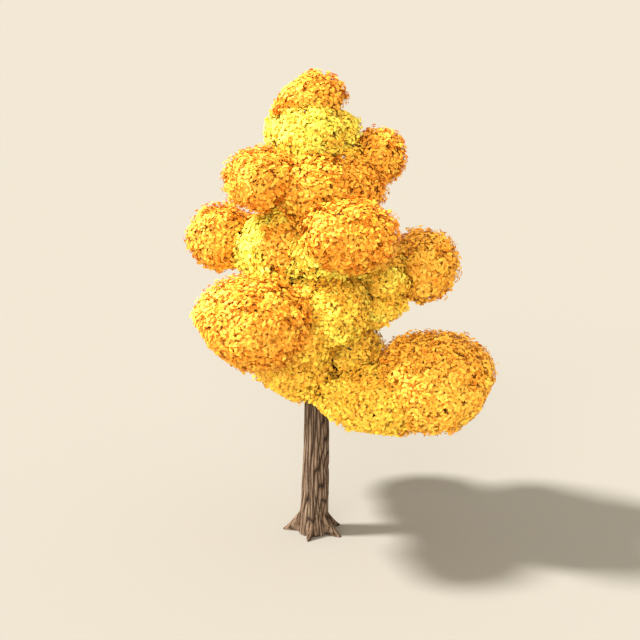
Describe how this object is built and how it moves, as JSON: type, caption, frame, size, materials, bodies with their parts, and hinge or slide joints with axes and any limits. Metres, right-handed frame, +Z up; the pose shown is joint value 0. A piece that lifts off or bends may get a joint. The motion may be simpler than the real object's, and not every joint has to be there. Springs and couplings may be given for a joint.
{
  "type": "ginkgo tree",
  "caption": "Ginkgo tree in autumn leaf, with a straight tapering trunk, root flare, boughs and a tiered crown of rounded amber and yellow foliage masses.",
  "frame": {"origin": "middle of the flat cut under the trunk, at ground level", "axes": "+Z up along the trunk, -Y towards the front that the picture shows, +X to the right of that view"},
  "size_m": [10.2911, 9.2312, 15.1142],
  "materials": {
    "bark": "rough, furrowed grey-brown bark",
    "amber_leaves": "matte amber autumn leaves",
    "yellow_leaves": "matte clear yellow autumn leaves"
  },
  "bodies": {
    "root": {"bough_back_left": "bark", "bough_back_right": "bark", "bough_front": "bark", "bough_lower_back": "bark", "bough_lower_left": "bark", "bough_lower_right": "bark", "bough_middle_left": "bark", "bough_middle_right": "bark", "bough_upper_back": "bark", "bough_upper_left": "bark", "bough_upper_right": "bark", "foliage_back_left": "amber_leaves", "foliage_back_left_inner": "yellow_leaves", "foliage_back_right": "amber_leaves", "foliage_back_right_inner": "yellow_leaves", "foliage_base_1": "yellow_leaves", "foliage_base_2": "yellow_leaves", "foliage_base_3": "yellow_leaves", "foliage_cap": "amber_leaves", "foliage_crest_1": "yellow_leaves", "foliage_crest_2": "yellow_leaves", "foliage_crest_3": "yellow_leaves", "foliage_front": "amber_leaves", "foliage_front_inner": "yellow_leaves", "foliage_heart_1": "yellow_leaves", "foliage_heart_2": "yellow_leaves", "foliage_heart_3": "yellow_leaves", "foliage_ledge_1": "yellow_leaves", "foliage_lower_back": "amber_leaves", "foliage_lower_back_inner": "yellow_leaves", "foliage_lower_left": "amber_leaves", "foliage_lower_left_inner": "yellow_leaves", "foliage_lower_right": "amber_leaves", "foliage_lower_right_inner": "yellow_leaves", "foliage_middle_left": "amber_leaves", "foliage_middle_left_inner": "yellow_leaves", "foliage_middle_right": "amber_leaves", "foliage_middle_right_inner": "yellow_leaves", "foliage_shoulder_1": "yellow_leaves", "foliage_shoulder_2": "yellow_leaves", "foliage_shoulder_3": "yellow_leaves", "foliage_skirt_1": "yellow_leaves", "foliage_skirt_2": "yellow_leaves", "foliage_upper_back": "amber_leaves", "foliage_upper_back_inner": "yellow_leaves", "foliage_upper_left": "amber_leaves", "foliage_upper_left_inner": "yellow_leaves", "foliage_upper_right": "amber_leaves", "foliage_upper_right_inner": "yellow_leaves", "foliage_waist_1": "yellow_leaves", "foliage_waist_2": "yellow_leaves", "foliage_waist_3": "amber_leaves", "trunk": "bark"}
  },
  "joints": []
}
